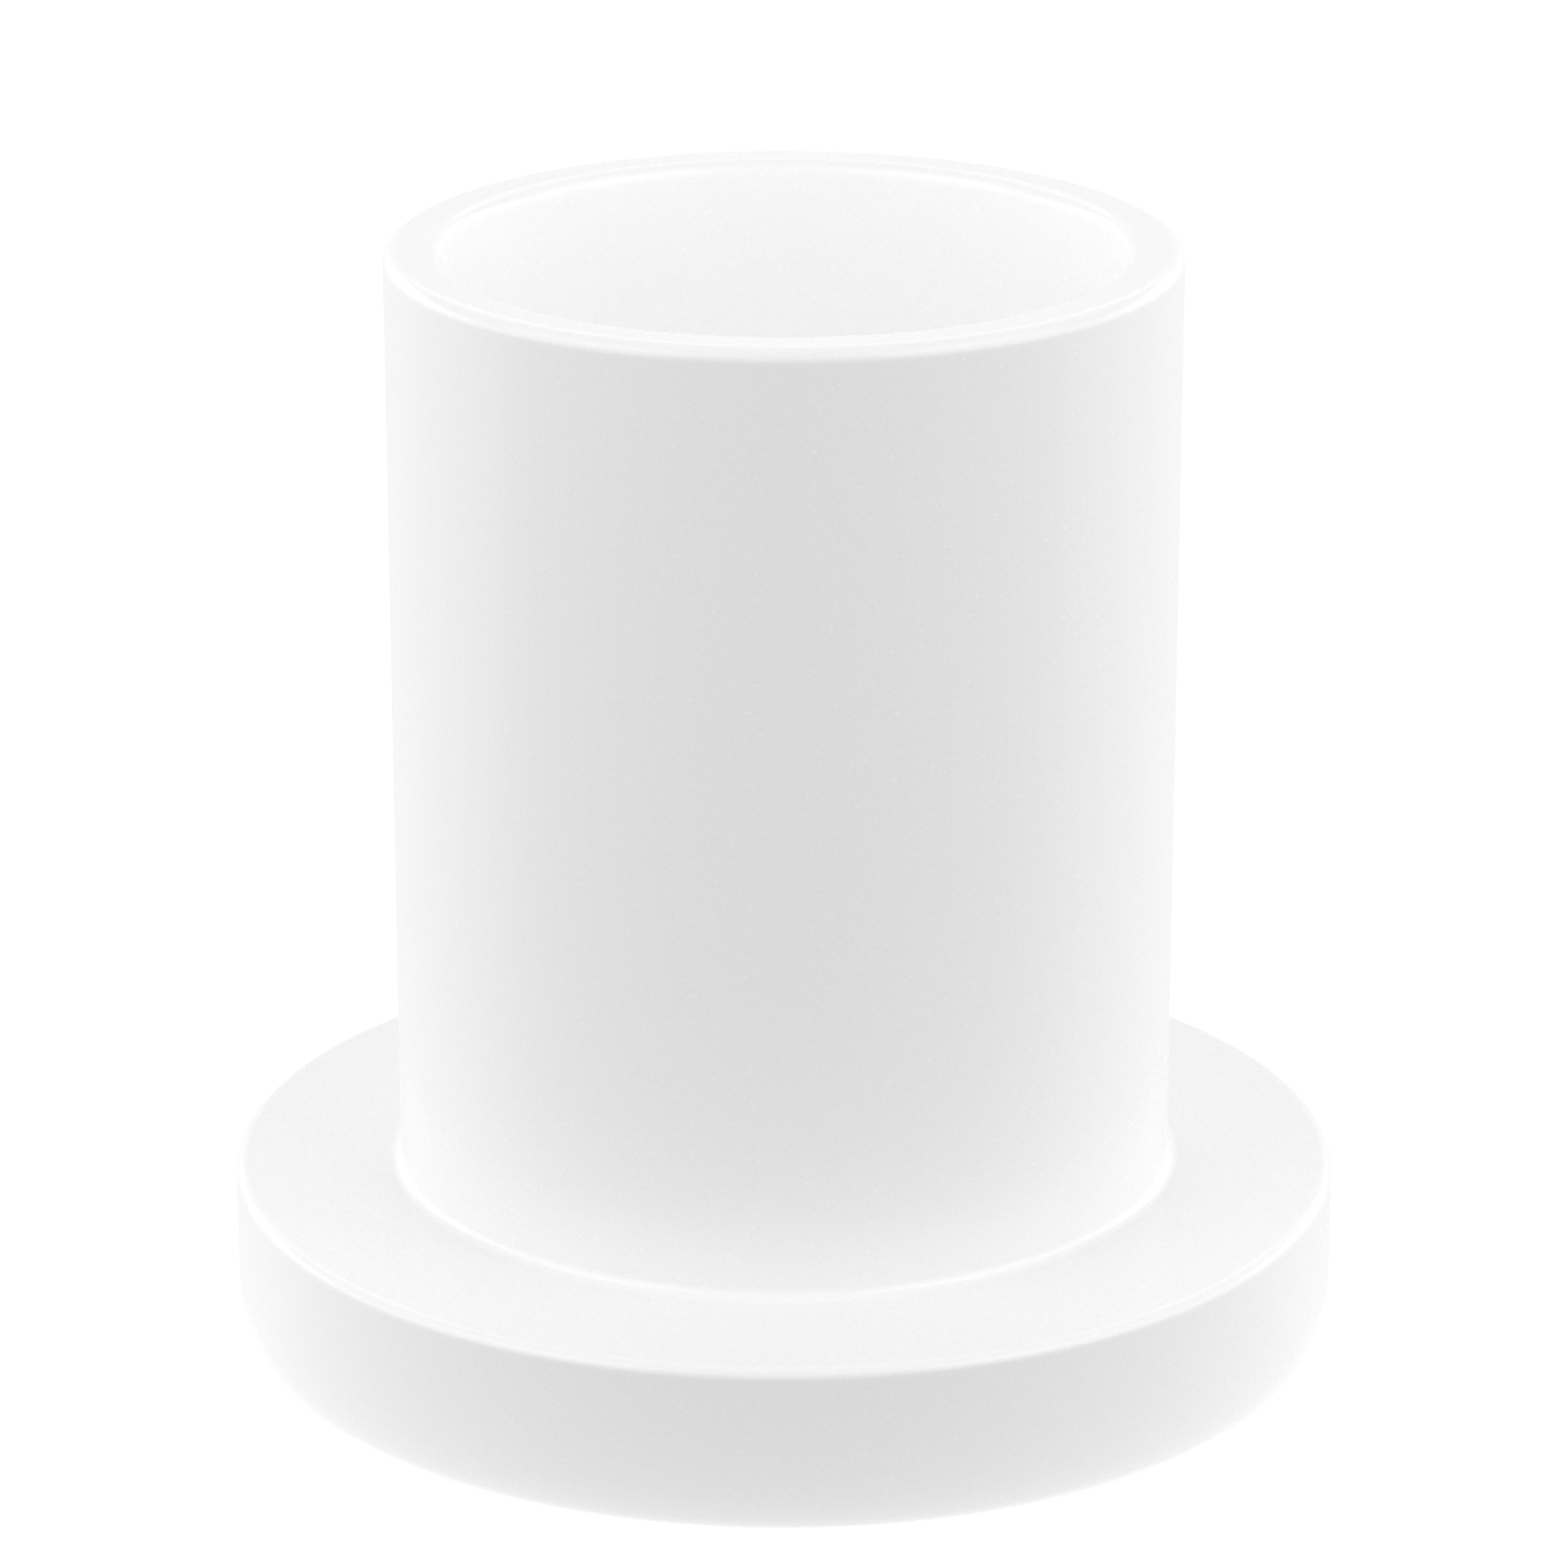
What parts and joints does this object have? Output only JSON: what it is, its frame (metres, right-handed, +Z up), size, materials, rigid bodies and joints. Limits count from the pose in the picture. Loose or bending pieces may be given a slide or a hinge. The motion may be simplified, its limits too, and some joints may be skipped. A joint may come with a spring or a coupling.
{
  "type": "pen holder cup",
  "caption": "Round white cup for pens and pencils, with a thick rim, on a wide low weighted base with softly rounded edges and a non-slip pad underneath.",
  "frame": {"origin": "on the axis, on the surface that the non-slip pad stands on", "axes": "+Z up along the cup's axis, out of its mouth; X and Y are equal, because the cup is round"},
  "size_m": [0.1, 0.1, 0.1005],
  "materials": {
    "cup_plastic": "semi-gloss white moulded plastic",
    "ballast_steel": "zinc-plated steel plate",
    "foam": "closed-cell foam, dark grey",
    "plate_plastic": "matt off-white moulded plastic",
    "screw_steel": "zinc-plated steel",
    "pad_rubber": "matt light grey silicone rubber"
  },
  "bodies": {
    "root": {"cup_shell": "cup_plastic", "ballast_disc": "ballast_steel", "foam_disc": "foam", "base_plate": "plate_plastic", "base_screw_1": "screw_steel", "base_screw_2": "screw_steel", "base_screw_3": "screw_steel", "base_screw_4": "screw_steel", "nonslip_pad": "pad_rubber"}
  },
  "joints": []
}
